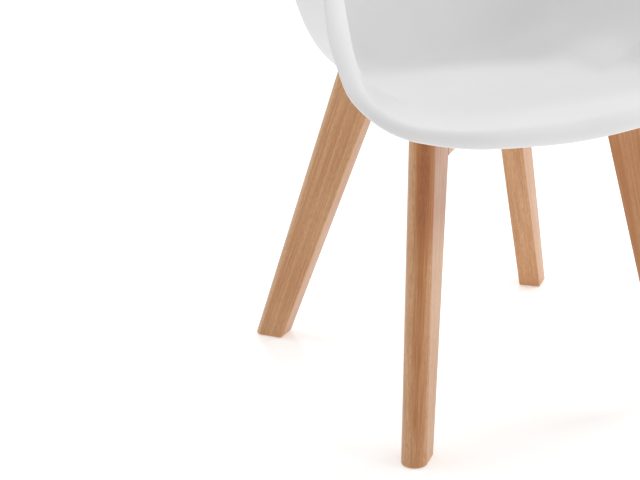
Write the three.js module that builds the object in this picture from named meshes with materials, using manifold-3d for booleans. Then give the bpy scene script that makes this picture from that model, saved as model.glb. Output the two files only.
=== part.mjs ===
// A dining armchair: one moulded tub seat screwed to a crossed beech base with four splayed legs.
// Millimetres, +Z up. The chair faces -Y and its left is -X, as seen by someone facing the chair.

import * as THREE from 'three';
import { NURBSCurve } from 'three/addons/curves/NURBSCurve.js';
import { mergeVertices } from 'three/addons/utils/BufferGeometryUtils.js';
import Module from 'manifold-3d';

const wasm = await Module();
wasm.setup();

// ---------------------------------------------------------------- driving dimensions

const GAP = 0.3;                 // clearance between two pieces that touch
const CENTRING_SHIFT = 2.85;     // puts the middle of the whole chair over the origin, along Y

const LEG_AZIMUTH = THREE.MathUtils.degToRad(42.2);  // between each leg's plane and the Y axis
const TIMBER = 35;               // thickness of the legs and rails
const FOOT_Z = 1;                // height of the legs' sawn feet
const REFERENCE_Z = 513;         // height at which the upper radii below are measured
const EDGE_CROWN = 13;           // bulge of a leg's rounded outer edge
const ARRIS = 2;                 // rounding of a leg's two inner edges

// Radii are measured from the middle of the cross, at the floor and at REFERENCE_Z.
const FRONT_LEG = { outer: [330, 248], inner: [286, 163], top: { radius: 177, z: 426, slope: 0.16 } };
const REAR_LEG = { outer: [373, 182], inner: [323, 103.5], top: { radius: 134, z: 426, slope: 0.2 } };

const RAIL = { bottom: 387, top: 412 };
const DOWEL = { radius: 5, length: 50, side: 9 };     // side: distance from the rail's middle plane
const FIXING = { distance: 85, counterbore: 8, boreRadius: 7.5 };  // seat screws, along each rail
const SCREW = { radius: 3, headRadius: 5.5, headHeight: 5, top: 425 };
const WASHER = { radius: 7, thickness: 1.4 };
const BOLT = { acrossCorners: 11.5, headHeight: 4, nutHeight: 5 };  // the bolt through the half lap
const INSERT = { radius: 4.5, length: 9 };
const BOSS = { radius: 11, bottom: 416.4, pocketTop: 428, root: 436 };
const PAD = { radius: 13, holeRadius: 4 };
const GLIDE = { radius: 9, thickness: 3.5, spigotRadius: 2.5, spigotTop: 15 };

// The seat is described by rings round a vertical axis, from the middle of the pan to the rim.
// Each ring has a half width, a reach to the front and to the rear, and heights at the front,
// at the arms and at the back.
const SEAT = {
  wall: 5,
  axisY: 12,
  frontSquareness: 3.3,
  rearSquareness: 2.5,
  rings: [
    { half: 0, front: 0, rear: 0, z: [439, 439, 439] },
    { half: 100, front: 95, rear: 45, z: [438.5, 438.5, 438.5] },
    { half: 150, front: 160, rear: 85, z: [439.5, 440.5, 438.5] },
    { half: 161, front: 205, rear: 118, z: [443, 461, 441] },
    { half: 217, front: 230, rear: 148, z: [446.5, 491, 505] },
    { half: 244, front: 249, rear: 193, z: [448.5, 579, 645] },
    { half: 247, front: 275, rear: 248, z: [447.5, 655, 786] },
  ],
  // Share of the climb from the front to the arms, and from the arms to the back,
  // against the direction in degrees: 0 is the front, 180 the back.
  armClimb: [[0, 0], [15, 0.01], [28, 0.02], [38, 0.04], [46, 0.09], [52, 0.17], [57, 0.38],
    [63, 0.8], [72, 0.95], [90, 1], [180, 1]],
  backClimb: [[0, 0], [90, 0], [115, 0.18], [152, 0.85], [180, 1]],
  // Radius of the rolled rim against the same direction.
  rimRoll: [[0, 24], [24, 22], [38, 18.5], [47, 19], [54, 25.5], [60, 31.5], [66, 33.5], [74, 28],
    [95, 17], [125, 13], [180, 13]],
};
const SEAT_MESH = { directions: 80, profileSteps: 14, rollSteps: 4 };
const ROUND = 16;                // sides of a turned piece

// ---------------------------------------------------------------- materials

const finish = (color, roughness, metalness = 0) =>
  new THREE.MeshStandardMaterial({ color, roughness, metalness });
const PLASTIC = finish(0xeceeed, 0.45);
const BEECH = finish(0xc99a6b, 0.55);
const DOWEL_BEECH = finish(0xd2aa7c, 0.7);
const STEEL = finish(0xb9bcc0, 0.35, 1);
const BRASS = finish(0xc2a15a, 0.35, 1);
const RUBBER = finish(0x2b2b2c, 0.85);
const GLIDE_PLASTIC = finish(0xd8d6d0, 0.5);

// ---------------------------------------------------------------- geometry helpers

function geometryFrom(points, triangles) {
  const geometry = new THREE.BufferGeometry();
  geometry.setAttribute('position', new THREE.Float32BufferAttribute(points, 3));
  geometry.setIndex(triangles);
  return geometry;
}

function toSolid(geometry) {
  const bare = geometry.clone();
  bare.deleteAttribute('normal');
  bare.deleteAttribute('uv');
  const merged = mergeVertices(bare);
  return new wasm.Manifold(new wasm.Mesh({
    numProp: 3,
    vertProperties: new Float32Array(merged.attributes.position.array),
    triVerts: new Uint32Array(merged.index.array),
  }));
}

function toGeometry(solid) {
  const { vertProperties, triVerts } = solid.getMesh();
  return geometryFrom(Array.from(vertProperties), Array.from(triVerts));
}

function cut(geometry, ...tools) {
  let solid = toSolid(geometry);
  for (const tool of tools) solid = solid.subtract(toSolid(tool));
  return toGeometry(solid);
}

function join(geometry, ...additions) {
  let solid = toSolid(geometry);
  for (const addition of additions) solid = solid.add(toSolid(addition));
  return toGeometry(solid);
}

// A turned piece standing on Z: outline points are [radius, z] and go up from the axis.
function turned(outline, sides = ROUND) {
  const points = outline.map(([radius, z]) => new THREE.Vector2(radius, z));
  return new THREE.LatheGeometry(points, sides).rotateX(Math.PI / 2);
}

const rod = (radius, from, to, sides = ROUND) =>
  turned([[0, from], [radius, from], [radius, to], [0, to]], sides);

const tube = (inner, outer, from, to) =>
  turned([[inner, from], [outer, from], [outer, to], [inner, to], [inner, from]]);

// The plane of a leg: azimuth of the outward direction, for side -1 or 1 and end -1 (front) or 1.
const outwardAzimuth = (side, end) =>
  Math.atan2(end * Math.cos(LEG_AZIMUTH), side * Math.sin(LEG_AZIMUTH));

// ---------------------------------------------------------------- seat shell

// Smooth monotone curve through [angle, value] stations, level at both ends.
function stationValue(stations, angle) {
  const last = stations.length - 1;
  const rise = (i) => (stations[i + 1][1] - stations[i][1]) / (stations[i + 1][0] - stations[i][0]);
  const slope = (i) => {
    if (i === 0 || i === last || rise(i - 1) * rise(i) <= 0) return 0;
    const before = stations[i][0] - stations[i - 1][0];
    const after = stations[i + 1][0] - stations[i][0];
    const [near, far] = [2 * after + before, after + 2 * before];
    return (near + far) / (near / rise(i - 1) + far / rise(i));
  };
  let i = 0;
  while (i < last - 1 && angle >= stations[i + 1][0]) i += 1;
  const span = stations[i + 1][0] - stations[i][0];
  const u = (angle - stations[i][0]) / span;
  const v = 1 - u;
  return stations[i][1] * (1 + 2 * u) * v * v + stations[i + 1][1] * u * u * (3 - 2 * u)
    + span * u * v * (slope(i) * v - slope(i + 1) * u);
}

// A point of one seat ring. The direction runs from 0 at the front round to 2 pi.
function ringPoint(ring, direction) {
  const [sin, cos] = [Math.sin(direction), Math.cos(direction)];
  const fold = THREE.MathUtils.radToDeg(Math.acos(THREE.MathUtils.clamp(cos, -1, 1)));
  const arm = stationValue(SEAT.armClimb, fold);
  const back = stationValue(SEAT.backClimb, fold);
  const power = cos > 0 ? SEAT.frontSquareness : SEAT.rearSquareness;
  const reach = cos > 0 ? ring.front : ring.rear;
  const radius = ring.half === 0 ? 0
    : (Math.abs(sin / ring.half) ** power + Math.abs(cos / reach) ** power) ** (-1 / power);
  const [front, side, rear] = ring.z;
  const z = front + (side - front) * arm + (rear - side) * back;
  return new THREE.Vector3(radius * sin, SEAT.axisY - radius * cos, z);
}

// The sitter's side of the seat along one direction, from the middle of the pan to the rim.
function profilePoints(direction) {
  const degree = 3;
  const spans = SEAT.rings.length - degree;
  const inner = Array.from({ length: spans - 1 }, (_, i) => (i + 1) / spans);
  const knots = [...Array(degree + 1).fill(0), ...inner, ...Array(degree + 1).fill(1)];
  const controls = SEAT.rings.map((ring) => {
    const p = ringPoint(ring, direction);
    return new THREE.Vector4(p.x, p.y, p.z, 1);
  });
  const curve = new NURBSCurve(degree, knots, controls);
  const steps = SEAT_MESH.profileSteps;
  return Array.from({ length: steps + 1 }, (_, i) => curve.getPoint(i / steps));
}

// The rim rolls a quarter turn from the wall's own direction towards the outside.
function rolledRim(profile, alongRim, rollRadius) {
  const edge = profile.at(-1);
  const forward = edge.clone().sub(profile.at(-2));
  const outward = alongRim.clone().cross(forward).normalize();
  const leading = outward.clone().cross(alongRim).normalize();
  return Array.from({ length: SEAT_MESH.rollSteps }, (_, i) => {
    const turn = ((i + 1) / SEAT_MESH.rollSteps) * (Math.PI / 2);
    return edge.clone()
      .addScaledVector(leading, rollRadius * Math.sin(turn))
      .addScaledVector(outward, rollRadius * (1 - Math.cos(turn)));
  });
}

// Sitter's side of the shell as rows of points: row 0 is the pole, each later row a closed loop.
function innerRows() {
  const count = SEAT_MESH.directions;
  const direction = (j) => (2 * Math.PI * j) / count;
  const profiles = Array.from({ length: count }, (_, j) => profilePoints(direction(j)));
  const columns = profiles.map((profile, j) => {
    const next = profiles[(j + 1) % count].at(-1);
    const before = profiles[(j + count - 1) % count].at(-1);
    const fold = THREE.MathUtils.radToDeg(Math.acos(Math.cos(direction(j))));
    const roll = stationValue(SEAT.rimRoll, fold);
    return [...profile, ...rolledRim(profile, next.clone().sub(before).normalize(), roll)];
  });
  return columns[0].map((_, i) => columns.map((column) => column[i]));
}

// The same rows moved by the wall thickness to the outside of the tub.
function outerRows(rows) {
  const count = SEAT_MESH.directions;
  return rows.map((row, i) => row.map((point, j) => {
    if (i === 0) return point.clone().setZ(point.z - SEAT.wall);
    const outwards = rows[Math.min(i + 1, rows.length - 1)][j].clone().sub(rows[i - 1][j]);
    const around = row[(j + 1) % count].clone().sub(row[(j + count - 1) % count]);
    return point.clone().addScaledVector(around.cross(outwards).normalize(), SEAT.wall);
  }));
}

function tubGeometry() {
  const count = SEAT_MESH.directions;
  const inner = innerRows();
  const outer = outerRows(inner);
  const points = [];
  const triangles = [];
  // Adds the loops of one side; returns the index of the pole.
  const addSide = (rows) => {
    const pole = points.length / 3;
    points.push(...rows[0][0].toArray());
    for (const row of rows.slice(1)) for (const p of row) points.push(...p.toArray());
    return pole;
  };
  const vertex = (pole, row, j) => (row === 0 ? pole : pole + 1 + (row - 1) * count + (j % count));
  const [top, underside] = [addSide(inner), addSide(outer)];
  const last = inner.length - 1;
  for (let j = 0; j < count; j += 1) {
    for (const [pole, flip] of [[top, false], [underside, true]]) {
      const face = (a, b, c) => triangles.push(...(flip ? [a, c, b] : [a, b, c]));
      face(pole, vertex(pole, 1, j), vertex(pole, 1, j + 1));
      for (let row = 1; row < last; row += 1) {
        const [a, b] = [vertex(pole, row, j), vertex(pole, row, j + 1)];
        const [c, d] = [vertex(pole, row + 1, j), vertex(pole, row + 1, j + 1)];
        face(a, c, d);
        face(a, d, b);
      }
    }
    const [a, b] = [vertex(top, last, j), vertex(top, last, j + 1)];
    const [c, d] = [vertex(underside, last, j), vertex(underside, last, j + 1)];
    triangles.push(a, c, d, a, d, b);
  }
  return geometryFrom(points, triangles);
}

// Where the seat screws stand: on both rails, to both sides of the middle.
const CORNERS = [
  { name: 'front_left', side: -1, end: -1, leg: FRONT_LEG },
  { name: 'front_right', side: 1, end: -1, leg: FRONT_LEG },
  { name: 'rear_left', side: -1, end: 1, leg: REAR_LEG },
  { name: 'rear_right', side: 1, end: 1, leg: REAR_LEG },
];
const fixingPlace = ({ side, end }) => [
  side * Math.sin(LEG_AZIMUTH) * FIXING.distance,
  end * Math.cos(LEG_AZIMUTH) * FIXING.distance,
  0,
];

function seatShell() {
  const bosses = CORNERS.map((corner) =>
    rod(BOSS.radius, BOSS.bottom, BOSS.root).translate(...fixingPlace(corner)));
  const pockets = CORNERS.map((corner) =>
    rod(INSERT.radius + GAP, BOSS.bottom - 1, BOSS.pocketTop).translate(...fixingPlace(corner)));
  return cut(join(tubGeometry(), ...bosses), ...pockets);
}

// ---------------------------------------------------------------- legs

const radiusAt = ([foot, upper], z) => foot + ((upper - foot) * z) / REFERENCE_Z;

// Outline of a leg's section: which face each point follows, how far it stands from that face,
// and its distance from the leg's middle plane.
function legOutline() {
  const half = TIMBER / 2;
  const crownRadius = (half * half + EDGE_CROWN * EDGE_CROWN) / (2 * EDGE_CROWN);
  const sweep = Math.asin(half / crownRadius);
  const crownSteps = 10;
  const arrisSteps = 3;
  const points = [];
  for (let i = 0; i <= crownSteps; i += 1) {
    const turn = -sweep + (2 * sweep * i) / crownSteps;
    points.push({
      face: 'outer',
      offset: crownRadius * (Math.cos(turn) - 1),
      side: crownRadius * Math.sin(turn),
    });
  }
  for (const sign of [1, -1]) {
    for (let i = 0; i <= arrisSteps; i += 1) {
      const turn = ((sign > 0 ? i : arrisSteps - i) / arrisSteps) * (Math.PI / 2);
      points.push({
        face: 'inner',
        offset: ARRIS * (1 - Math.sin(turn)),
        side: sign * (half - ARRIS * (1 - Math.cos(turn))),
      });
    }
  }
  return points;
}

// A leg in its own plane: X outwards from the middle of the cross, Y across, Z up.
function legBlank(leg) {
  const outline = legOutline();
  const atFoot = outline.map(({ face, offset, side }) =>
    [radiusAt(leg[face], FOOT_Z) + offset, side, FOOT_Z]);
  const atTop = outline.map(({ face, offset, side }) => {
    const lean = (leg[face][1] - leg[face][0]) / REFERENCE_Z;
    const { radius, z, slope } = leg.top;
    const r = (leg[face][0] + offset + lean * (z - slope * radius)) / (1 - lean * slope);
    return [r, side, z + slope * (r - radius)];
  });
  const count = outline.length;
  const triangles = [];
  for (let i = 0; i < count; i += 1) {
    const j = (i + 1) % count;
    triangles.push(i, j, count + j, i, count + j, count + i);
    if (i > 0 && j > 0) triangles.push(0, j, i, count, count + i, count + j);
  }
  return geometryFrom([...atFoot, ...atTop].flat(), triangles);
}

const footRadius = (leg) => radiusAt(leg.inner, 0) + TIMBER / 2;
const railMiddle = (RAIL.bottom + RAIL.top) / 2;
const jointRadius = (leg) => radiusAt(leg.inner, railMiddle);

// A horizontal rod along a leg's outward direction, centred on the leg-to-rail joint.
function jointRod(leg, side, radius, length) {
  return rod(radius, -length / 2, length / 2)
    .rotateY(Math.PI / 2)
    .translate(jointRadius(leg), side * DOWEL.side, railMiddle);
}

const dowelHoles = (leg) =>
  [-1, 1].map((side) => jointRod(leg, side, DOWEL.radius + GAP, DOWEL.length + 1));

function legGeometry({ side, end, leg }) {
  const recess = turned([
    [0, 0], [GLIDE.radius + GAP, 0], [GLIDE.radius + GAP, GLIDE.thickness + GAP],
    [GLIDE.spigotRadius + GAP, GLIDE.thickness + GAP],
    [GLIDE.spigotRadius + GAP, GLIDE.spigotTop + GAP], [0, GLIDE.spigotTop + GAP],
  ]).translate(footRadius(leg), 0, 0);
  return cut(legBlank(leg), recess, ...dowelHoles(leg)).rotateZ(outwardAzimuth(side, end));
}

function glideGeometry({ side, end, leg }) {
  return turned([
    [0, 0], [GLIDE.radius, 0], [GLIDE.radius, GLIDE.thickness],
    [GLIDE.spigotRadius, GLIDE.thickness], [GLIDE.spigotRadius, GLIDE.spigotTop], [0, GLIDE.spigotTop],
  ]).translate(footRadius(leg), 0, 0).rotateZ(outwardAzimuth(side, end));
}

function dowelGeometry({ side, end, leg }, dowelSide) {
  return jointRod(leg, dowelSide, DOWEL.radius, DOWEL.length).rotateZ(outwardAzimuth(side, end));
}

// ---------------------------------------------------------------- crossed rails

// A bar of rectangular section lying along X, with sloping ends cut to meet the legs.
function bar(ends, bottom, top, thickness) {
  const shape = new THREE.Shape([
    new THREE.Vector2(ends.front(bottom), bottom),
    new THREE.Vector2(ends.front(top), top),
    new THREE.Vector2(-ends.rear(top), top),
    new THREE.Vector2(-ends.rear(bottom), bottom),
  ]);
  return new THREE.ExtrudeGeometry(shape, { depth: thickness, bevelEnabled: false })
    .rotateX(Math.PI / 2)
    .translate(0, thickness / 2, 0);
}

function screwBore() {
  return turned([
    [0, RAIL.bottom - 1], [FIXING.boreRadius, RAIL.bottom - 1],
    [FIXING.boreRadius, RAIL.bottom + FIXING.counterbore],
    [SCREW.radius + GAP, RAIL.bottom + FIXING.counterbore],
    [SCREW.radius + GAP, RAIL.top + 1], [0, RAIL.top + 1],
  ]);
}

// One rail runs from the front leg on a side to the rear leg on the other side. The two rails
// are halved into each other: the notch is in the upper half of one and the lower half of the other.
function railGeometry(frontSide, notchIsAbove) {
  const ends = {
    front: (z) => radiusAt(FRONT_LEG.inner, z) - GAP,
    rear: (z) => radiusAt(REAR_LEG.inner, z) - GAP,
  };
  const azimuth = outwardAzimuth(frontSide, -1);
  const crossing = outwardAzimuth(-frontSide, -1) - azimuth;
  const [low, high] = notchIsAbove
    ? [railMiddle - GAP / 2, RAIL.top + 1]
    : [RAIL.bottom - 1, railMiddle + GAP / 2];
  const reach = () => 2 * TIMBER;
  const notch = bar({ front: reach, rear: reach }, low, high, TIMBER + 2 * GAP).rotateZ(crossing);
  const bores = [FIXING.distance, 0, -FIXING.distance].map((x) => screwBore().translate(x, 0, 0));
  const rearHoles = dowelHoles(REAR_LEG).map((hole) => hole.rotateZ(Math.PI));
  const blank = bar(ends, RAIL.bottom, RAIL.top, TIMBER);
  return cut(blank, notch, ...bores, ...dowelHoles(FRONT_LEG), ...rearHoles).rotateZ(azimuth);
}

// ---------------------------------------------------------------- fasteners and pads

const bearing = RAIL.bottom + FIXING.counterbore;     // face that the washers press on
const hexagon = (acrossCorners, from, to) => rod(acrossCorners / 2, from, to, 6);

function seatScrew() {
  const headTop = bearing - 2 * GAP - WASHER.thickness;
  const headBottom = headTop - SCREW.headHeight;
  const dome = 1;
  const blank = turned([
    [0, headBottom], [SCREW.headRadius - dome, headBottom], [SCREW.headRadius, headBottom + dome],
    [SCREW.headRadius, headTop], [SCREW.radius, headTop],
    [SCREW.radius, SCREW.top - dome], [SCREW.radius - dome, SCREW.top], [0, SCREW.top],
  ]);
  const socketSize = 4.6;
  const socketDepth = 3;
  return cut(blank, hexagon(socketSize, headBottom - 1, headBottom + socketDepth));
}

const screwWasher = () =>
  tube(SCREW.radius + GAP, WASHER.radius, bearing - GAP - WASHER.thickness, bearing - GAP);

function threadedInsert() {
  const bottom = BOSS.bottom + GAP;
  return tube(SCREW.radius + GAP, INSERT.radius, bottom, bottom + INSERT.length);
}

const spacerPad = () => tube(PAD.holeRadius, PAD.radius, RAIL.top + GAP, BOSS.bottom - GAP);

// The bolt through the half lap has its head above the rails and its nut in the lower counterbore.
function centreBolt() {
  const underHead = RAIL.top + GAP;
  const shank = rod(SCREW.radius, RAIL.bottom + 1, underHead + 1);
  return join(shank, hexagon(BOLT.acrossCorners, underHead, underHead + BOLT.headHeight));
}

function centreNut() {
  const top = bearing - 2 * GAP - WASHER.thickness;
  const bottom = top - BOLT.nutHeight;
  const blank = hexagon(BOLT.acrossCorners, bottom, top);
  return cut(blank, rod(SCREW.radius + GAP, bottom - 1, top + 1));
}

// ---------------------------------------------------------------- assembly

const chair = new THREE.Group();
chair.position.y = CENTRING_SHIFT;

function add(name, geometry, material, place = [0, 0, 0]) {
  const mesh = new THREE.Mesh(geometry, material);
  mesh.name = name;
  mesh.position.set(...place);
  chair.add(mesh);
}

add('seat_shell', seatShell(), PLASTIC);
add('rail_front_left_to_rear_right', railGeometry(-1, true), BEECH);
add('rail_front_right_to_rear_left', railGeometry(1, false), BEECH);
add('centre_bolt', centreBolt(), STEEL);
add('centre_washer', screwWasher(), STEEL);
add('centre_nut', centreNut(), STEEL);

for (const corner of CORNERS) {
  const { name } = corner;
  add(`${name}_leg`, legGeometry(corner), BEECH);
  add(`${name}_glide`, glideGeometry(corner), GLIDE_PLASTIC);
  add(`${name}_dowel_a`, dowelGeometry(corner, -1), DOWEL_BEECH);
  add(`${name}_dowel_b`, dowelGeometry(corner, 1), DOWEL_BEECH);
  add(`${name}_seat_screw`, seatScrew(), STEEL, fixingPlace(corner));
  add(`${name}_screw_washer`, screwWasher(), STEEL, fixingPlace(corner));
  add(`${name}_seat_insert`, threadedInsert(), BRASS, fixingPlace(corner));
  add(`${name}_spacer_pad`, spacerPad(), RUBBER, fixingPlace(corner));
}

export default chair;
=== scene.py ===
"""A dining armchair: one moulded tub seat on a crossed base with four splayed beech legs.

Metres, +Z up, and the chair faces -Y. The CAD nodes come in as the frame. Each one is stood for
here by a finer mesh in the same place: the tub with its rounded rim, the timber with its grain,
and the screws, inserts, pads and glides.
"""

import math

import bpy
import numpy as np
from mathutils import Matrix, Vector


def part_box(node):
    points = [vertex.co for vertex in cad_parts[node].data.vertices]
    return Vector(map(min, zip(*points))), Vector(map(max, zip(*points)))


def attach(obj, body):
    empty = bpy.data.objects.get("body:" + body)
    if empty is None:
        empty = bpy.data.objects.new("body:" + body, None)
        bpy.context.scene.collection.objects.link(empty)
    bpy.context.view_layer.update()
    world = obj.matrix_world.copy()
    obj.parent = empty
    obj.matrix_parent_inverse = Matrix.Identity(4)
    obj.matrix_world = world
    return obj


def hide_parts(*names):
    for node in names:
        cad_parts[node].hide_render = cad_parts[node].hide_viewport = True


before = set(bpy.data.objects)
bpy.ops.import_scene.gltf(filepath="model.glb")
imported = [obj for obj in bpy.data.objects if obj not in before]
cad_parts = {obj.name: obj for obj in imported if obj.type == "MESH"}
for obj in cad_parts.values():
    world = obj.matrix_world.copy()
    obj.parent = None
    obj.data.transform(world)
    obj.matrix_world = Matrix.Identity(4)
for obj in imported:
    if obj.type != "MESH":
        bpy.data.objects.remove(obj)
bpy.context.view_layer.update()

MM = 0.001

# ---------------------------------------------------------------- driving dimensions, in mm

GAP = 0.3                  # clearance between two pieces that touch
LEG_AZIMUTH = math.radians(42.2)  # between each leg's plane and the Y axis
TIMBER = 35                # thickness of the legs and rails
REFERENCE_Z = 513          # height at which the upper radii of the legs are measured
EDGE_CROWN = 13            # bulge of a leg's rounded outer edge
ARRIS = 2                  # rounding of a leg's two inner edges
END_BEVEL = 1.2            # softening of the sawn ends
RAIL_ARRIS = 1.6           # rounding of a rail's edges

# Radii are measured from the middle of the cross, at the floor and at REFERENCE_Z.
FRONT_LEG = {"outer": (330, 248), "inner": (286, 163),
             "top": {"radius": 177, "z": 426, "slope": 0.16}}
REAR_LEG = {"outer": (373, 182), "inner": (323, 103.5),
            "top": {"radius": 134, "z": 426, "slope": 0.2}}
DOWEL = {"radius": 5, "length": 50, "side": 9, "flutes": 16, "flute_depth": 0.35}
FIXING_DISTANCE = 85       # seat screws, along each rail
COUNTERBORE = {"radius": 7.5, "depth": 8}
BOSS = {"radius": 11, "bottom": 416.4, "pocket_top": 428, "root": 436}
BOSS_CHAMFER = 0.6
RIB = {"thickness": 3, "bottom": 419.5, "gusset": 24, "overlap": 2}
THREAD = {"radius": 3, "pitch": 1.0, "depth": 0.55}
SCREW = {"head": 5, "plain": 8, "socket": 4.6, "socket_depth": 3}
BOLT = {"head": 4, "thread": 18}
INSERT_KNURL = {"diamonds": 9, "twist": 1.4, "depth": 0.3}
GLIDE = {"thickness": 3.5, "spigot": 2.5, "sole": 1.2}
PAD = {"hole": 4, "softness": 0.8}
WASHER_SOFTNESS = 0.3

# The seat is described by rings round a vertical axis, from the middle of the pan to the rim.
# Each ring has a half width, a reach to the front and to the rear, and heights at the front,
# at the arms and at the back.
WALL = 5
SEAT_AXIS_Y = 12
FRONT_SQUARENESS, REAR_SQUARENESS = 3.3, 2.5
RINGS = [
    {"half": 0, "front": 0, "rear": 0, "z": (439, 439, 439)},
    {"half": 100, "front": 95, "rear": 45, "z": (438.5, 438.5, 438.5)},
    {"half": 150, "front": 160, "rear": 85, "z": (439.5, 440.5, 438.5)},
    {"half": 161, "front": 205, "rear": 118, "z": (443, 461, 441)},
    {"half": 217, "front": 230, "rear": 148, "z": (446.5, 491, 505)},
    {"half": 244, "front": 249, "rear": 193, "z": (448.5, 579, 645)},
    {"half": 247, "front": 275, "rear": 248, "z": (447.5, 655, 786)},
]
# Share of the climb from the front to the arms, and from the arms to the back, against the
# direction in degrees: 0 is the front, 180 the back.
ARM_CLIMB = [(0, 0), (15, 0.01), (28, 0.02), (38, 0.04), (46, 0.09), (52, 0.17), (57, 0.38),
             (63, 0.8), (72, 0.95), (90, 1), (180, 1)]
BACK_CLIMB = [(0, 0), (90, 0), (115, 0.18), (152, 0.85), (180, 1)]
# Radius of the rolled rim against the same direction.
RIM_ROLL = [(0, 24), (24, 22), (38, 18.5), (47, 19), (54, 25.5), (60, 31.5), (66, 33.5), (74, 28),
            (95, 17), (125, 13), (180, 13)]

DIRECTIONS = 240
PROFILE_STEPS, ROLL_STEPS, EDGE_STEPS = 52, 12, 8

# ---------------------------------------------------------------- meshes


def mesh_object(name, points, faces):
    """An object with that mesh, from points in mm."""
    mesh = bpy.data.meshes.new(name)
    mesh.from_pydata((np.asarray(points, float) * MM).tolist(), [], faces)
    mesh.update()
    made = bpy.data.objects.new(name, mesh)
    bpy.context.scene.collection.objects.link(made)
    return made


def stacked(loops, capped=True, joined=False):
    """Points and faces of a skin through loops of points, capped at its ends or joined into a
    ring."""
    count, rows = len(loops[0]), len(loops)
    points = np.concatenate(loops)
    faces = []
    for i in range(rows if joined else rows - 1):
        a, b = i * count, (i + 1) % rows * count
        faces += [(a + j, a + (j + 1) % count, b + (j + 1) % count, b + j) for j in range(count)]
    if capped and not joined:
        faces.append(tuple(range(count))[::-1])
        faces.append(tuple((rows - 1) * count + j for j in range(count)))
    return points, faces


def turned(name, outline, sides=48, shape=None):
    """A turned piece on Z. The outline's (radius, z) points go up from the axis, or close on
    themselves round a hole. shape(radius, z, angle) may move the radius, as a thread does."""
    angles = np.arange(sides) * 2 * math.pi / sides
    hollow = outline[0][0] > 0
    loops = []
    for radius, z in outline:
        r = shape(radius, z, angles) if shape else np.full(sides, float(radius))
        level = np.full(sides, float(z))
        loops.append(np.stack([r * np.cos(angles), r * np.sin(angles), level], 1))
    if hollow:
        return mesh_object(name, *stacked(loops, joined=True))
    points, faces = stacked(loops[1:-1], capped=False)
    first, last = len(points), len(points) + 1
    points = np.concatenate([points, [[0, 0, outline[0][1]], [0, 0, outline[-1][1]]]])
    top = (len(loops) - 3) * sides
    faces += [(first, (j + 1) % sides, j) for j in range(sides)]
    faces += [(last, top + j, top + (j + 1) % sides) for j in range(sides)]
    return mesh_object(name, points, faces)


def box(name, low, high):
    """A cutter or a rib: a box between two corners."""
    xs, ys = (low[0], high[0], high[0], low[0]), (low[1], low[1], high[1], high[1])
    loops = [np.array([(x, y, z) for x, y in zip(xs, ys)], float) for z in (low[2], high[2])]
    return mesh_object(name, *stacked(loops))


def merged(objects):
    """One object with the meshes of several, for a single boolean."""
    points, faces = [], []
    for o in objects:
        start = len(points)
        points += [o.matrix_world @ v.co for v in o.data.vertices]
        faces += [tuple(start + i for i in p.vertices) for p in o.data.polygons]
        bpy.data.objects.remove(o)
    return mesh_object("tool", np.array([tuple(p) for p in points]) / MM, faces)


def combine(piece, operation, *tools):
    """Joins, cuts or intersects piece with each tool in turn, and removes the tools."""
    for tool in tools:
        modifier = piece.modifiers.new("combine", "BOOLEAN")
        modifier.operation, modifier.solver, modifier.object = operation, "EXACT", tool
    evaluated = piece.evaluated_get(bpy.context.evaluated_depsgraph_get())
    mesh = bpy.data.meshes.new_from_object(evaluated)
    piece.modifiers.clear()
    piece.data = mesh
    for tool in tools:
        bpy.data.objects.remove(tool)
    return piece


def placed(piece, place=(0, 0, 0), turn=0.0, tilt=0.0):
    """Moves a mesh, in mm: tilted about Y, then turned about Z, then shifted."""
    rotation = Matrix.Rotation(turn, 4, "Z") @ Matrix.Rotation(tilt, 4, "Y")
    piece.data.transform(Matrix.Translation(Vector(place) * MM) @ rotation)
    return piece


def finished(piece, node, slot, material, smooth_below=30):
    """Gives a piece its material and shading, and lets it stand for its CAD node."""
    piece.data.materials.clear()
    piece.data.materials.append(material)
    piece.data.polygons.foreach_set("use_smooth", [True] * len(piece.data.polygons))
    piece.data.set_sharp_from_angle(angle=math.radians(smooth_below))
    piece.name = node + "_finished"
    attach(piece, "root")
    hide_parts(node)
    return piece


def grained(piece, across, along, spin=0.0, shift=0.0, heart_and_painted_light=None):
    """Stores where each vertex is in the timber: across it on X and Y, along it on Z, in metres.
    across and along map the piece's own points, in mm, before it is placed. The last function
    tells how much darker, redder heartwood there is at a place across and along the piece, with
    painted shade at a leg's top and a painted highlight on its rounded edge added to it."""
    co = np.empty(len(piece.data.vertices) * 3)
    piece.data.vertices.foreach_get("co", co)
    co = co.reshape(-1, 3) / MM
    (u, v), w = across(co), along(co)
    cos, sin = math.cos(spin), math.sin(spin)
    grain = np.stack([cos * u - sin * v, sin * u + cos * v, w], 1) * MM + (0, 0, shift)
    layer = piece.data.attributes.new("grain", "FLOAT_VECTOR", "POINT")
    layer.data.foreach_set("vector", grain.astype(np.float32).ravel())
    layer = piece.data.attributes.new("heart_and_painted_light", "FLOAT", "POINT")
    hearts_and_painted_light = heart_and_painted_light(u, v, w) if heart_and_painted_light else np.zeros(len(u))
    layer.data.foreach_set("value", hearts_and_painted_light.astype(np.float32))
    return piece


# ---------------------------------------------------------------- materials


def shader(name, **sockets):
    """A Principled material with these uniform values; returns it, its node tree and the shader."""
    made = bpy.data.materials.new(name)
    made.use_nodes = True
    principled = made.node_tree.nodes["Principled BSDF"]
    for socket, value in sockets.items():
        principled.inputs[socket.replace("_", " ")].default_value = value
    return made, made.node_tree, principled


def add(tree, kind, settings=None, **inputs):
    """A node with its settings, and its inputs linked or set by name."""
    made = tree.nodes.new("ShaderNode" + kind)
    for key, value in (settings or {}).items():
        setattr(made, key, value)
    for socket, value in inputs.items():
        feed(tree, made.inputs[socket.replace("_", " ")], value)
    return made


def feed(tree, socket, value):
    if isinstance(value, bpy.types.NodeSocket):
        tree.links.new(value, socket)
    else:
        socket.default_value = value


def maths(tree, operation, a, b=0.0):
    made = tree.nodes.new("ShaderNodeMath")
    made.operation = operation
    feed(tree, made.inputs[0], a)
    feed(tree, made.inputs[1], b)
    return made.outputs[0]


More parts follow.
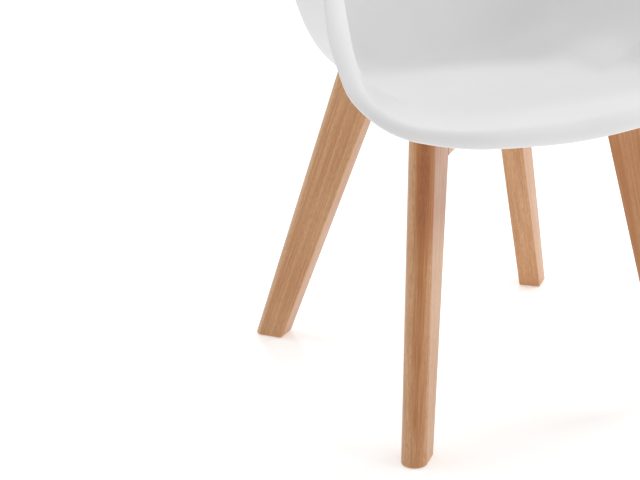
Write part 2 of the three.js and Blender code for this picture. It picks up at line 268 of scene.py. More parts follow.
def weighted(tree, *pairs):
    """The sum of some values, each times its weight."""
    total = 0.0
    for value, weight in pairs:
        total = maths(tree, "ADD", total, maths(tree, "MULTIPLY", value, weight))
    return total


def noise(tree, where, scale, detail=3.0, roughness=0.55, stretch=(1, 1, 1)):
    """Noise about 0.5 with that many features a metre, stretched along the axes."""
    mapped = add(tree, "Mapping", Vector=where, Scale=[scale * s for s in stretch])
    made = add(tree, "TexNoise", Vector=mapped.outputs[0], Scale=1.0, Detail=detail,
               Roughness=roughness)
    return made.outputs["Fac"]


def remap(tree, value, low, high, to_low, to_high):
    """Maps low..high to to_low..to_high, and no further."""
    made = add(tree, "MapRange", Value=value, From_Min=low, From_Max=high,
               To_Min=to_low, To_Max=to_high)
    return made.outputs[0]


def rgba(color, share=1.0):
    """A colour with its alpha, at that share of its brightness."""
    return [c * share for c in color] + [1]


def blend(tree, factor, a, b):
    made = tree.nodes.new("ShaderNodeMix")
    made.data_type = "RGBA"
    for socket, value in ((0, factor), (6, a), (7, b)):
        feed(tree, made.inputs[socket], value)
    return made.outputs[2]


def bump(tree, principled, height, depth):
    """Relief of that depth in mm."""
    made = add(tree, "Bump", Height=height, Distance=depth * MM, Strength=1.0)
    tree.links.new(made.outputs[0], principled.inputs["Normal"])


def place_in_piece(tree):
    return add(tree, "TexCoord").outputs["Object"]


def moulded_plastic(name, color, roughness, grain_scale, grain_depth):
    """Moulded plastic with the fine spark texture of its mould, and faint handling marks."""
    made, tree, principled = shader(name, IOR=1.49)
    where = place_in_piece(tree)
    slow = noise(tree, where, 9, detail=2)
    tint = blend(tree, remap(tree, slow, 0.35, 0.65, 0, 1), rgba(color, 0.985), rgba(color))
    tree.links.new(tint, principled.inputs["Base Color"])
    fine = noise(tree, where, grain_scale, detail=2, roughness=0.6)
    rubbed = noise(tree, where, 38, detail=4, stretch=(1, 1, 0.45))
    dull = maths(tree, "ADD", remap(tree, rubbed, 0.3, 0.75, roughness - 0.05, roughness + 0.05),
                 remap(tree, fine, 0.3, 0.7, -0.03, 0.03))
    tree.links.new(dull, principled.inputs["Roughness"])
    bump(tree, principled, fine, grain_depth)
    return made


# What the deepest heartwood, and the painted shade at the top of the front left leg, keep of the
# dark tone of their timber, channel by channel.
DARKEST_HEART_AND_SHADE = (0.77, 0.67, 0.6)


def timber(name, light, dark, fleck, roughness, lacquer):
    """Straight-grained beech: slow bands, fine streaks, short ray flecks and open pores."""
    made, tree, principled = shader(name, IOR=1.45, Coat_Weight=lacquer, Coat_Roughness=0.28,
                                    Coat_IOR=1.45)
    grain = add(tree, "Attribute", {"attribute_name": "grain"}).outputs["Vector"]
    heart_and_painted_light = add(tree, "Attribute", {"attribute_name": "heart_and_painted_light"}).outputs["Fac"]
    bands = noise(tree, grain, 150, detail=3, stretch=(1, 1, 0.008))
    streaks = noise(tree, grain, 480, detail=3, stretch=(1, 1, 0.012))
    patches = noise(tree, grain, 14, detail=2, stretch=(1, 1, 0.5))
    flecks = noise(tree, grain, 850, detail=2, stretch=(1, 1, 0.13))
    pores = noise(tree, grain, 2600, detail=1, stretch=(1, 1, 0.06))
    tone = weighted(tree, (bands, 0.3), (streaks, 0.5), (patches, 0.2))
    # Adds the stored heartwood, which carries painted shade at a leg's top and a painted highlight
    # on its rounded edge.
    tone = maths(tree, "ADD", remap(tree, tone, 0.41, 0.59, 0, 0.46), heart_and_painted_light)
    wood = blend(tree, tone, rgba(light), rgba(dark))
    # Beyond the dark tone, the deepest heartwood and the painted shade at a leg's top go darker
    # still.
    darkest_heart_and_shade = [c * share for c, share in zip(dark, DARKEST_HEART_AND_SHADE)] + [1]
    wood = blend(tree, remap(tree, tone, 1.05, 1.5, 0, 1), wood, darkest_heart_and_shade)
    wood = blend(tree, remap(tree, flecks, 0.49, 0.62, 0, 0.5), wood, rgba(fleck))
    wood = blend(tree, remap(tree, pores, 0.6, 0.72, 0, 0.3), wood, rgba(dark, 0.62))
    tree.links.new(wood, principled.inputs["Base Color"])
    sheen = maths(tree, "ADD", remap(tree, flecks, 0.35, 0.7, roughness + 0.05, roughness - 0.05),
                  remap(tree, patches, 0.35, 0.65, -0.03, 0.03))
    tree.links.new(sheen, principled.inputs["Roughness"])
    bump(tree, principled, weighted(tree, (streaks, 0.6), (pores, -0.5)), 0.08)
    return made


def plated(name, color, roughness):
    """Plated or turned metal: fine scratches round the piece and small dull patches."""
    made, tree, principled = shader(name, Metallic=1.0)
    where = place_in_piece(tree)
    clouds = noise(tree, where, 260, detail=3)
    scratches = noise(tree, where, 900, detail=2, stretch=(1, 1, 6))
    tint = blend(tree, remap(tree, clouds, 0.3, 0.7, 0, 1), rgba(color, 0.8), rgba(color))
    tree.links.new(tint, principled.inputs["Base Color"])
    dull = remap(tree, clouds, 0.3, 0.7, roughness - 0.06, roughness + 0.1)
    tree.links.new(dull, principled.inputs["Roughness"])
    bump(tree, principled, scratches, 0.02)
    return made


WHITE_PLASTIC = moulded_plastic("white_polypropylene", (0.825, 0.824, 0.824), roughness=0.55,
                                grain_scale=1500, grain_depth=0.035)
GLIDE_PLASTIC = moulded_plastic("glide_polyethylene", (0.60, 0.59, 0.55), roughness=0.5,
                                grain_scale=900, grain_depth=0.03)
RUBBER = moulded_plastic("black_rubber", (0.018, 0.018, 0.019), roughness=0.75,
                         grain_scale=700, grain_depth=0.08)
BEECH = timber("lacquered_beech", light=(0.70, 0.425, 0.217), dark=(0.44, 0.16, 0.04),
               fleck=(0.41, 0.18, 0.08), roughness=0.42, lacquer=0.35)
RAW_BEECH = timber("raw_beech", light=(0.66, 0.44, 0.25), dark=(0.55, 0.33, 0.17),
                   fleck=(0.45, 0.25, 0.12), roughness=0.7, lacquer=0.0)
ZINC = plated("zinc_plate", (0.62, 0.63, 0.65), roughness=0.32)
BRASS = plated("turned_brass", (0.62, 0.45, 0.17), roughness=0.3)

# ---------------------------------------------------------------- places from the frame

cross_low, cross_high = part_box("centre_washer")
CROSS = (cross_low + cross_high) / 2 / MM       # middle of the crossed rails
rail_low, rail_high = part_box("rail_front_left_to_rear_right")
RAIL_BOTTOM, RAIL_TOP = rail_low.z / MM, rail_high.z / MM
RAIL_MIDDLE = (RAIL_BOTTOM + RAIL_TOP) / 2
FOOT_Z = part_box("front_left_leg")[0].z / MM     # height of the sawn feet over the floor
CORNERS = [
    ("front_left", -1, -1, FRONT_LEG),
    ("front_right", 1, -1, FRONT_LEG),
    ("rear_left", -1, 1, REAR_LEG),
    ("rear_right", 1, 1, REAR_LEG),
]
# The heartwood of each leg, with painted light stored with it: the share that is all through it,
# partly painted shade on the front right leg, that of a band beside its rounded edge, the middle of
# that band across the leg, in mm, how much paler the rounded edge is painted, a painted highlight,
# and how much painted shade darkens it near the top, under the seat, on the side of positive places
# across.
HEART_BAND_WIDTH = 9
HEARTWOOD_AND_PAINTED_LIGHT = {
    "front_left": (0.1, 0.8, 6.5, 0, 0.5),
    "front_right": (0.45, 0.2, -6, 0.2, 0),
    "rear_left": (0.25, 0.1, -6, 0.35, 0),
    "rear_right": (0.2, 0.25, 7, 0.3, 0),
}


def outward_azimuth(side, end):
    """Direction of a leg's plane, for side -1 or 1 and end -1, the front, or 1."""
    return math.atan2(end * math.cos(LEG_AZIMUTH), side * math.sin(LEG_AZIMUTH))


def on_cross(side, end, distance):
    """A place in plan, that far out from the middle of the cross along a leg's plane."""
    azimuth = outward_azimuth(side, end)
    return CROSS.x + distance * math.cos(azimuth), CROSS.y + distance * math.sin(azimuth)


# ---------------------------------------------------------------- seat


def station_values(stations, angles):
    """Smooth monotone curve through (angle, value) stations, level at both ends."""
    x, y = np.array(stations, float).T
    span, rise = np.diff(x), np.diff(y) / np.diff(x)
    slope = np.zeros(len(x))
    for i in range(1, len(x) - 1):
        if rise[i - 1] * rise[i] > 0:
            near, far = 2 * span[i] + span[i - 1], span[i] + 2 * span[i - 1]
            slope[i] = (near + far) / (near / rise[i - 1] + far / rise[i])
    i = np.clip(np.searchsorted(x, angles, side="right") - 1, 0, len(span) - 1)
    u = (angles - x[i]) / span[i]
    v = 1 - u
    return (y[i] * (1 + 2 * u) * v * v + y[i + 1] * u * u * (3 - 2 * u)
            + span[i] * u * v * (slope[i] * v - slope[i + 1] * u))


def folded(directions):
    """Each direction in degrees from the front, the same on both sides."""
    return np.degrees(np.arccos(np.clip(np.cos(directions), -1, 1)))


def ring_points(ring, directions):
    """Points of one seat ring, for directions from 0 at the front round to 2 pi."""
    sin, cos = np.sin(directions), np.cos(directions)
    power = np.where(cos > 0, FRONT_SQUARENESS, REAR_SQUARENESS)
    reach = np.where(cos > 0, ring["front"], ring["rear"])
    if ring["half"]:
        radius = (np.abs(sin / ring["half"]) ** power + np.abs(cos / reach) ** power) ** (-1 / power)
    else:
        radius = np.zeros(len(directions))
    front, side, rear = ring["z"]
    arm, back = (station_values(s, folded(directions)) for s in (ARM_CLIMB, BACK_CLIMB))
    z = front + (side - front) * arm + (rear - side) * back
    return np.stack([radius * sin, SEAT_AXIS_Y - radius * cos, z], 1)


def spline_weights(count, parameters):
    """Weights of a clamped cubic B-spline's controls, one row for each parameter from 0 to 1."""
    degree = 3
    spans = count - degree
    knots = np.concatenate([np.zeros(degree), np.linspace(0, 1, spans + 1), np.ones(degree)])
    t = np.clip(parameters, 0, 1 - 1e-12)[:, None]
    weights = ((knots[:-1] <= t) & (t < knots[1:])).astype(float)

    def share(part, span):
        """Part of a span of knots, and nothing where its knots fall together."""
        return np.where(span > 0, part / np.where(span > 0, span, 1), 0)

    for d in range(1, degree + 1):
        climb = share(t - knots[:-d - 1], knots[d:-1] - knots[:-d - 1])
        fall = share(knots[d + 1:] - t, knots[d + 1:] - knots[1:-d])
        weights = climb * weights[:, :-1] + fall * weights[:, 1:]
    return weights


def unit(vectors):
    return vectors / np.linalg.norm(vectors, axis=-1, keepdims=True)


def even_directions():
    """Directions spread halfway between equal angles and equal lengths of rim."""
    fine = np.linspace(0, 2 * math.pi, 1441)
    rim = ring_points(RINGS[-1], fine)
    length = np.concatenate([[0], np.cumsum(np.linalg.norm(np.diff(rim, axis=0), axis=1))])
    share = 0.5 * fine / fine[-1] + 0.5 * length / length[-1]
    return np.interp(np.arange(DIRECTIONS) / DIRECTIONS, share, fine)


def tub_loops():
    """Loops of the tub from the pole of the sitter's side, over the rim, to the pole below."""
    directions = even_directions()
    controls = np.stack([ring_points(ring, directions) for ring in RINGS])
    weights = spline_weights(len(RINGS), np.linspace(0, 1, PROFILE_STEPS + 1))
    inner = np.einsum("tk,kdc->tdc", weights, controls)
    edge = inner[-1]
    along = unit(np.roll(edge, -1, 0) - np.roll(edge, 1, 0))
    forward = controls[-1] - controls[-2]
    outward = unit(np.cross(along, forward))
    leading = unit(np.cross(outward, along))
    # The rim rolls a quarter turn outwards, short of the rounding of its own free edge.
    roll = station_values(RIM_ROLL, folded(directions))[:, None]
    last_turn = math.pi / 2 - WALL / 2 / roll
    rolled = [edge + roll * (np.sin(t) * leading + (1 - np.cos(t)) * outward)
              for t in (last_turn * (i + 1) / ROLL_STEPS for i in range(ROLL_STEPS))]
    inner = np.concatenate([inner, rolled])
    # The outside is the same surface moved by the wall thickness.
    outwards = np.concatenate([inner[1:], inner[-1:]]) - np.concatenate([inner[:1], inner[:-1]])
    around = np.roll(inner, -1, 1) - np.roll(inner, 1, 1)
    normals = np.zeros_like(inner)
    normals[1:] = unit(np.cross(around[1:], outwards[1:]))
    normals[0] = (0, 0, -1)
    outer = inner + WALL * normals
    # The free edge is a half round between the two sides.
    tip = unit(np.cos(last_turn) * leading + np.sin(last_turn) * outward)
    middle, half = (inner[-1] + outer[-1]) / 2, WALL / 2
    rounding = [middle + half * (-math.cos(a) * normals[-1] + math.sin(a) * tip)
                for a in (math.pi * i / EDGE_STEPS for i in range(1, EDGE_STEPS))]
    return [*inner, *rounding, *outer[::-1]]


def tub_seat():
    """The moulding: tub, bosses and ribs in one, with a pocket in each boss."""
    loops = tub_loops()
    points, faces = stacked(loops[1:-1], capped=False)
    count = DIRECTIONS
    first, last, final_row = len(points), len(points) + 1, (len(loops) - 3) * count
    points = np.concatenate([points, loops[0][:1], loops[-1][:1]])
    faces += [(first, (j + 1) % count, j) for j in range(count)]
    faces += [(last, final_row + j, final_row + (j + 1) % count) for j in range(count)]
    seat = mesh_object("seat_shell", points + [0, CROSS.y, 0], [f[::-1] for f in faces])

    bosses, pockets, gussets, links = [], [], [], []
    radius, bottom, root = BOSS["radius"], BOSS["bottom"], BOSS["root"]
    boss = [(0, bottom), (radius - BOSS_CHAMFER, bottom), (radius, bottom + BOSS_CHAMFER),
            (radius, root), (0, root)]
    insert_low, insert_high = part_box("front_left_seat_insert")
    bore = (insert_high.x - insert_low.x) / 2 / MM + GAP
    pocket = [(0, bottom - 1), (bore, bottom - 1), (bore, BOSS["pocket_top"]),
              (0, BOSS["pocket_top"])]
    half, start = RIB["thickness"] / 2, radius - RIB["overlap"]
    for _, side, end, _ in CORNERS:
        x, y = on_cross(side, end, FIXING_DISTANCE)
        bosses.append(placed(turned("boss", boss), (x, y, 0)))
        pockets.append(placed(turned("pocket", pocket), (x, y, 0)))
        rib = box("gusset", (start, -half, RIB["bottom"]), (radius + RIB["gusset"], half, root))
        gussets.append(placed(rib, (x, y, 0), turn=outward_azimuth(side, end)))
    around = [on_cross(side, end, FIXING_DISTANCE)
              for side, end in ((-1, -1), (1, -1), (1, 1), (-1, 1))]
    for (ax, ay), (bx, by) in zip(around, around[1:] + around[:1]):
        length = math.hypot(bx - ax, by - ay)
        rib = box("link", (start, -half, RIB["bottom"]), (length - start, half, root))
        links.append(placed(rib, (ax, ay, 0), turn=math.atan2(by - ay, bx - ax)))
    combine(seat, "UNION", merged(bosses), merged(gussets + links))
    combine(seat, "DIFFERENCE", merged(pockets))
    return finished(seat, "seat_shell", "seat_plastic", WHITE_PLASTIC, smooth_below=38)


# ---------------------------------------------------------------- legs and rails


def radius_at(face, z):
    """Distance of a leg's face from the middle of the cross at a height."""
    foot, upper = face
    return foot + (upper - foot) * z / REFERENCE_Z


def leg_section():
    """Outline of a leg: for each point, whether it follows the outer face, how far it stands
    from that face, and its distance from the leg's middle plane."""
    half = TIMBER / 2
    crown_radius = (half * half + EDGE_CROWN * EDGE_CROWN) / (2 * EDGE_CROWN)
    sweep = math.asin(half / crown_radius)
    turns = np.linspace(-sweep, sweep, 25)
    crown = [(True, crown_radius * (math.cos(t) - 1), crown_radius * math.sin(t)) for t in turns]
    quarter = np.linspace(0, math.pi / 2, 9)
    arris = [(False, ARRIS * (1 - math.sin(t)), half - ARRIS * (1 - math.cos(t))) for t in quarter]
    return crown + arris + [(face, offset, -side) for face, offset, side in reversed(arris)]


def leg_timber(leg):
    """A leg in its own plane: X outwards from the middle of the cross, Y across, Z up."""
    section = leg_section()
    side = np.array([s for _, _, s in section])
    offset = np.array([o for _, o, _ in section])
    foot = np.array([leg["outer" if outer else "inner"][0] for outer, _, _ in section], float)
    upper = np.array([leg["outer" if outer else "inner"][1] for outer, _, _ in section], float)
    lean = (upper - foot) / REFERENCE_Z
    top = leg["top"]
    top_z_at_middle = top["z"] - top["slope"] * top["radius"]

    def loop(share, lift, inset):
        """Section that share of the way up, lifted by a few mm and drawn in at its edges."""
        top_r = (foot + offset + lean * top_z_at_middle) / (1 - lean * top["slope"])
        z = FOOT_Z + share * (top["z"] + top["slope"] * (top_r - top["radius"]) - FOOT_Z) + lift
        r = foot + offset + lean * z
        centre = (r.max() + r.min()) / 2
        r = centre + (r - centre) * (1 - 2 * inset / (r.max() - r.min()))
        return np.stack([r, side * (1 - 2 * inset / TIMBER), z], 1)

    loops = [loop(0, 0, END_BEVEL), loop(0, END_BEVEL / 3, END_BEVEL / 3), loop(0, END_BEVEL, 0)]
    loops += [loop(share, 0, 0) for share in (0.15, 0.3, 0.45, 0.6, 0.75, 0.9)]
    loops += [loop(1, -END_BEVEL, 0), loop(1, -END_BEVEL / 3, END_BEVEL / 3), loop(1, 0, END_BEVEL)]
    return mesh_object("leg", *stacked(loops))


def dowel_holes(leg):
    """Cutters for the two dowels where a leg meets its rail, in the leg's plane."""
    reach, radius = DOWEL["length"] / 2 + 0.5, DOWEL["radius"] + GAP
    outline = [(0, -reach), (radius, -reach), (radius, reach), (0, reach)]
    joint = radius_at(leg["inner"], RAIL_MIDDLE)
    return [placed(turned("hole", outline), (joint, side * DOWEL["side"], RAIL_MIDDLE),
                   tilt=math.pi / 2) for side in (-1, 1)]


def foot_radius(leg):
    return radius_at(leg["inner"], 0) + TIMBER / 2


def ramp(values, start, end):
    """Climbs from 0 to 1 between two values."""
    return np.clip((values - start) / (end - start), 0, 1)


def build_leg(number, name, side, end, leg):
    """A leg with its dowel holes and the recess for its glide."""
    low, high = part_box(name + "_glide")
    radius, depth = (high.x - low.x) / 2 / MM + GAP, high.z / MM + GAP
    step, spigot = GLIDE["thickness"] + GAP, GLIDE["spigot"] + GAP
    outline = [(0, -1), (radius, -1), (radius, step), (spigot, step), (spigot, depth), (0, depth)]
    recess = placed(turned("recess", outline), (foot_radius(leg), 0, 0))
    piece = combine(leg_timber(leg), "DIFFERENCE", recess, *dowel_holes(leg))

    def across(co):
        middle = (radius_at(leg["inner"], co[:, 2]) + radius_at(leg["outer"], co[:, 2])) / 2
        return co[:, 0] - middle, co[:, 1]

    def heart_and_painted_light(u, v, height):
        share, band, middle, painted_edge_highlight, top = HEARTWOOD_AND_PAINTED_LIGHT[name]
        band = band * ramp(u, 0, TIMBER) * np.exp(-((v - middle) / HEART_BAND_WIDTH) ** 2)
        # The rounded outer edge is painted paler here, a painted highlight.
        highlit_edge = ramp(u, 0, 10) * ramp(TIMBER / 2 - np.abs(v), 0, 1.5)
        # Near the top of the leg, under the seat, painted shade darkens the wood.
        shade_near_top = ramp(height, 265, 330) * ramp(v, -9, 5)
        return share + band - painted_edge_highlight * highlit_edge + top * shade_near_top

    grained(piece, across, along=lambda co: co[:, 2], spin=0.5 + 1.1 * number,
            shift=5.3 * number, heart_and_painted_light=heart_and_painted_light)
    placed(piece, (CROSS.x, CROSS.y, 0), turn=outward_azimuth(side, end))
    finished(piece, name + "_leg", "beech", BEECH, smooth_below=14)


def build_rail(number, node, front_side, notch_above):
    """One rail, from the front leg on a side to the rear leg on the other, along its own X."""
    half, rise = TIMBER / 2, (RAIL_TOP - RAIL_BOTTOM) / 2
    corner = []
    for sy, sz, start in ((1, 1, 0), (-1, 1, 90), (-1, -1, 180), (1, -1, 270)):
        for angle in np.radians(start + np.linspace(0, 90, 6)):
            corner.append((sy * (half - RAIL_ARRIS) + RAIL_ARRIS * math.cos(angle),
                           RAIL_MIDDLE + sz * (rise - RAIL_ARRIS) + RAIL_ARRIS * math.sin(angle)))
    y, z = np.array(corner).T
    front, rear = radius_at(FRONT_LEG["inner"], z) - GAP, -(radius_at(REAR_LEG["inner"], z) - GAP)
    loops = [np.stack([rear + (front - rear) * share, y, z], 1) for share in np.linspace(0, 1, 9)]
    piece = mesh_object(node, *stacked(loops))

    azimuth = outward_azimuth(front_side, -1)
    crossing = outward_azimuth(-front_side, -1) - azimuth
    if notch_above:
        low, high = RAIL_MIDDLE - GAP / 2, RAIL_TOP + 1
    else:
        low, high = RAIL_BOTTOM - 1, RAIL_MIDDLE + GAP / 2
    reach = 2 * TIMBER
    notch = box("notch", (-reach, -half - GAP, low), (reach, half + GAP, high))
    placed(notch, turn=crossing)
    wide, narrow = COUNTERBORE["radius"], THREAD["radius"] + GAP
    step = RAIL_BOTTOM + COUNTERBORE["depth"]
    bore = [(0, RAIL_BOTTOM - 1), (wide, RAIL_BOTTOM - 1), (wide, step), (narrow, step),
            (narrow, RAIL_TOP + 1), (0, RAIL_TOP + 1)]
    bores = [placed(turned("bore", bore), (x, 0, 0))
             for x in (-FIXING_DISTANCE, 0, FIXING_DISTANCE)]
    holes = dowel_holes(FRONT_LEG) + [placed(hole, turn=math.pi) for hole in dowel_holes(REAR_LEG)]
    combine(piece, "DIFFERENCE", notch, *bores, *holes)
    grained(piece, across=lambda co: (co[:, 1], co[:, 2] - RAIL_MIDDLE), along=lambda co: co[:, 0],
            spin=0.8 * number, shift=31 + 5.3 * number)
    placed(piece, (CROSS.x, CROSS.y, 0), turn=azimuth)
    finished(piece, node, "beech", BEECH, smooth_below=20)


# ---------------------------------------------------------------- fasteners, dowels, pads, glides


def node_axis(node):
    """Middle of a CAD node in plan, its lowest and highest point, and half its width, in mm."""
    low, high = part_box(node)
    x, y = (low.x + high.x) / 2 / MM, (low.y + high.y) / 2 / MM
    return x, y, low.z / MM, high.z / MM, (high.x - low.x) / 2 / MM


def threaded(start, end):
    """Lowers the radius along a helical groove between two heights."""
    def shape(radius, z, angles):
        if not start < z < end or radius < THREAD["radius"] - 0.01:
            return np.full(len(angles), float(radius))
        phase = (z / THREAD["pitch"] - angles / (2 * math.pi)) % 1
        fade = min(1, (z - start) / THREAD["pitch"], (end - z) / THREAD["pitch"])
        return radius - THREAD["depth"] * fade * np.abs(2 * phase - 1)
    return shape


def thread_rows(start, end):
    steps = round((end - start) / THREAD["pitch"] * 5)
    return [(THREAD["radius"], z) for z in np.linspace(start, end, steps + 1)]


def hexagon(name, across_corners, low, high):
    radius = across_corners / 2
    return turned(name, [(0, low), (radius, low), (radius, high), (0, high)], sides=6)


def seat_screw(node):
    """A socket head screw: knurled head down in the counterbore, thread up into the insert."""
    x, y, low, high, head = node_axis(node)
    head_top = low + SCREW["head"]
    outline = [(0, low), (head - 1, low), (head - 0.45, low + 0.2), (head - 0.12, low + 0.6)]
    outline += [(head, low + 1)]
    outline += [(head, head_top - 0.4), (head - 0.4, head_top), (THREAD["radius"], head_top)]
    outline += thread_rows(head_top + 0.2, high - 1) + [(THREAD["radius"] - 1, high), (0, high)]
    thread = threaded(head_top + SCREW["plain"], high - 1)

    def shape(radius, z, angles):
        if radius > head - 0.01:
            return radius - 0.16 * np.abs(np.sin(12 * angles))
        return thread(radius, z, angles)

    piece = turned(node, outline, sides=48, shape=shape)
    socket = hexagon("socket", SCREW["socket"], low - 1, low + SCREW["socket_depth"])
    combine(piece, "DIFFERENCE", socket)
    finished(placed(piece, (x, y, 0)), node, "zinc_steel", ZINC)


def ring(node, slot, material, hole, soft):
    """A washer or pad: a flat ring with rounded edges."""
    x, y, low, high, outer = node_axis(node)
    quarter = [(math.sin(a), 1 - math.cos(a)) for a in np.linspace(0, math.pi / 2, 4)]
    outline = [(hole + soft * (1 - s), low + soft * c) for s, c in reversed(quarter)]
    outline += [(outer - soft * (1 - s), low + soft * c) for s, c in quarter]
    outline += [(outer - soft * (1 - s), high - soft * c) for s, c in reversed(quarter)]
    outline += [(hole + soft * (1 - s), high - soft * c) for s, c in quarter]
    finished(placed(turned(node, outline), (x, y, 0)), node, slot, material)


def threaded_insert(node):
    """A brass insert, knurled in diamonds to hold in the boss."""
    x, y, low, high, outer = node_axis(node)
    hole = THREAD["radius"] + GAP
    outline = [(hole + 0.4, low), (outer - 0.4, low)]
    outline += [(outer, z) for z in np.linspace(low + 0.4, high - 0.4, 19)]
    outline += [(outer - 0.4, high), (hole + 0.4, high), (hole, high - 0.4), (hole, low + 0.4)]

    def shape(radius, z, angles):
        if radius < outer - 0.01:
            return np.full(len(angles), float(radius))
        lean, turns = (z - low) * INSERT_KNURL["twist"], INSERT_KNURL["diamonds"] * angles
        return radius - INSERT_KNURL["depth"] * np.abs(np.sin(turns + lean) * np.sin(turns - lean))

    finished(placed(turned(node, outline, sides=72, shape=shape), (x, y, 0)), node, "brass", BRASS)


def dowel(node, side, end, leg, dowel_side):
    """A fluted dowel with chamfered ends, across the joint of a leg and its rail."""
    half, radius, chamfer = DOWEL["length"] / 2, DOWEL["radius"], 1.2
    outline = [(0, -half), (radius - 1, -half), (radius, chamfer - half)]
    outline += [(radius, half - chamfer), (radius - 1, half), (0, half)]

    def shape(r, z, angles):
        flutes = np.maximum(0, np.cos(DOWEL["flutes"] * angles))
        return r - DOWEL["flute_depth"] * flutes * (r > radius - 0.5)

    piece = turned(node, outline, sides=96, shape=shape)
    grained(piece, across=lambda co: (co[:, 0], co[:, 1]), along=lambda co: co[:, 2],
            shift=51 + 3.7 * dowel_side)
    placed(piece, tilt=math.pi / 2)
    placed(piece, (radius_at(leg["inner"], RAIL_MIDDLE), dowel_side * DOWEL["side"], RAIL_MIDDLE))
    placed(piece, (CROSS.x, CROSS.y, 0), turn=outward_azimuth(side, end))
    finished(piece, node, "dowel_beech", RAW_BEECH)


def glide(node):
    """A plastic glide with a rounded sole, pressed into the foot by its spigot."""
    x, y, low, high, radius = node_axis(node)
    thickness, spigot, rounding = GLIDE["thickness"], GLIDE["spigot"], GLIDE["sole"]
    sole = [(radius - rounding * (1 - math.sin(a)), low + rounding * (1 - math.cos(a)))
            for a in np.linspace(0, math.pi / 2, 6)]
    outline = [(0, low), *sole, (radius, thickness - 0.3), (radius - 0.3, thickness)]
    outline += [(spigot, thickness)]
    outline += [(spigot, high - 1), (spigot - 0.8, high), (0, high)]
    finished(placed(turned(node, outline), (x, y, 0)), node, "glide_plastic", GLIDE_PLASTIC)


def chamfered_hexagon(name, across_corners, low, high):
    """A hexagon whose corners are turned off below and above."""
    flat = across_corners / 2 * math.cos(math.pi / 6)
    wide, drop = across_corners / 2 + 0.5, 1.0
    outline = [(0, low), (flat - 0.2, low), (wide, low + drop), (wide, high - drop)]
    outline += [(flat - 0.2, high), (0, high)]
    blank = hexagon(name, across_corners, low, high)
    return combine(blank, "INTERSECT", turned("corners", outline))


def centre_fixing():
    """The bolt through the half lap, its washer and its nut."""
    x, y, low, high, corner = node_axis("centre_bolt")
    tip = low + 0.7
    shank = [(0, low), (THREAD["radius"] - 0.7, low), *thread_rows(tip, tip + BOLT["thread"])]
    shank += [(THREAD["radius"], high - 1), (0, high - 1)]
    bolt = turned("centre_bolt", shank, sides=40, shape=threaded(tip, low + BOLT["thread"]))
    combine(bolt, "UNION", chamfered_hexagon("head", 2 * corner, high - BOLT["head"], high))
    finished(placed(bolt, (x, y, 0)), "centre_bolt", "zinc_steel", ZINC)
    x, y, low, high, corner = node_axis("centre_nut")
    nut = chamfered_hexagon("centre_nut", 2 * corner, low, high)
    hole = THREAD["radius"] + GAP
    outline = [(0, low - 1), (hole, low - 1), (hole, high + 1), (0, high + 1)]
    combine(nut, "DIFFERENCE", turned("hole", outline))
    finished(placed(nut, (x, y, 0)), "centre_nut", "zinc_steel", ZINC)
    ring("centre_washer", "zinc_steel", ZINC, hole, WASHER_SOFTNESS)


# ---------------------------------------------------------------- the chair

tub_seat()
build_rail(0, "rail_front_left_to_rear_right", -1, notch_above=True)
build_rail(1, "rail_front_right_to_rear_left", 1, notch_above=False)
centre_fixing()
for number, (corner, side, end, leg) in enumerate(CORNERS):
    build_leg(number, corner, side, end, leg)
    glide(corner + "_glide")
    dowel(corner + "_dowel_a", side, end, leg, -1)
    dowel(corner + "_dowel_b", side, end, leg, 1)
    seat_screw(corner + "_seat_screw")
    ring(corner + "_screw_washer", "zinc_steel", ZINC, THREAD["radius"] + GAP, WASHER_SOFTNESS)
    threaded_insert(corner + "_seat_insert")
    ring(corner + "_spacer_pad", "black_rubber", RUBBER, PAD["hole"], PAD["softness"])

# ---------------------------------------------------------------- floor, light and camera


def studio_floor():
    """A pale floor that glows a little away from the chair, so that it runs into the white room."""
    reach = 15000
    corners = [(x * reach, y * reach, 0) for x, y in ((-1, -1), (1, -1), (1, 1), (-1, 1))]
    floor = mesh_object("floor", corners, [(0, 1, 2, 3)])
    made, tree, principled = shader("pale_floor", Roughness=0.9)
    principled.inputs["Base Color"].default_value = (0.9, 0.9, 0.9, 1)
    principled.inputs["Emission Color"].default_value = (1, 1, 1, 1)
    length = add(tree, "VectorMath", {"operation": "LENGTH"}, Vector=place_in_piece(tree))
    glow = remap(tree, length.outputs["Value"], 0.9, 2.5, 0.36, 0.52)
    tree.links.new(glow, principled.inputs["Emission Strength"])
    floor.data.materials.append(made)


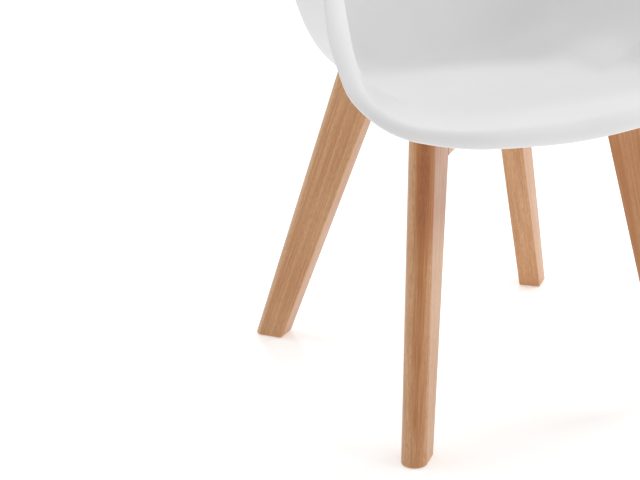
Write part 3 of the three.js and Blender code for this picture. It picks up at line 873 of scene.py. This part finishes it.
def softbox(name, azimuth, elevation, distance, size, power):
    """A square area light that faces the middle of the seat. Azimuth 0 is in front, 90 to +X."""
    data = bpy.data.lights.new(name, "AREA")
    data.shape, data.size, data.energy = "SQUARE", size, power
    light = bpy.data.objects.new(name, data)
    a, e = math.radians(azimuth), math.radians(elevation)
    away = Vector((math.sin(a) * math.cos(e), -math.cos(a) * math.cos(e), math.sin(e)))
    light.location = Vector((0, 0, 0.5)) + away * distance
    light.rotation_mode = "QUATERNION"
    light.rotation_quaternion = away.to_track_quat("Z", "Y")
    bpy.context.scene.collection.objects.link(light)


def studio_light():
    """A pale room, soft panels to the right, in front and behind to the left, and a small key high
    behind to the right, which leaves the sitter's side of the back in shadow."""
    world = bpy.data.worlds.new("studio")
    bpy.context.scene.world = world
    world.use_nodes = True
    world.node_tree.nodes["Background"].inputs["Color"].default_value = (1, 1, 1, 1)
    world.node_tree.nodes["Background"].inputs["Strength"].default_value = 0.546
    softbox("key", 150, 57, distance=3.0, size=0.35, power=14.3)
    softbox("right", 90, 21, distance=2.8, size=0.9, power=20)
    softbox("front_right", 45, 36, distance=2.8, size=0.9, power=9.8)
    softbox("front", 5, 42, distance=2.8, size=0.9, power=3.3)
    softbox("top_left", 225, 65, distance=2.8, size=0.9, power=10.5)


def camera():
    """Stands in front, to the chair's left, and looks down at its left legs."""
    place = (-0.9456, -1.88345, 0.9878)
    yaw, pitch, roll = (math.radians(a) for a in (20.472, 20.318, -2.704))
    ahead = Vector((math.sin(yaw), math.cos(yaw), 0))
    forward = ahead * math.cos(pitch) - Vector((0, 0, math.sin(pitch)))
    level = Vector((math.cos(yaw), -math.sin(yaw), 0))
    upright = level.cross(forward)
    right = level * math.cos(roll) + upright * math.sin(roll)
    up = upright * math.cos(roll) - level * math.sin(roll)
    data = bpy.data.cameras.new("camera")
    data.sensor_width, data.lens = 36, 87.2745
    data.clip_start, data.clip_end = 0.1, 100
    made = bpy.data.objects.new("camera", data)
    rotation = Matrix((right, up, -forward)).transposed().to_4x4()
    made.matrix_world = Matrix.Translation(place) @ rotation
    bpy.context.scene.collection.objects.link(made)
    bpy.context.scene.camera = made


studio_floor()
studio_light()
camera()
bpy.context.scene.view_settings.view_transform = "Standard"
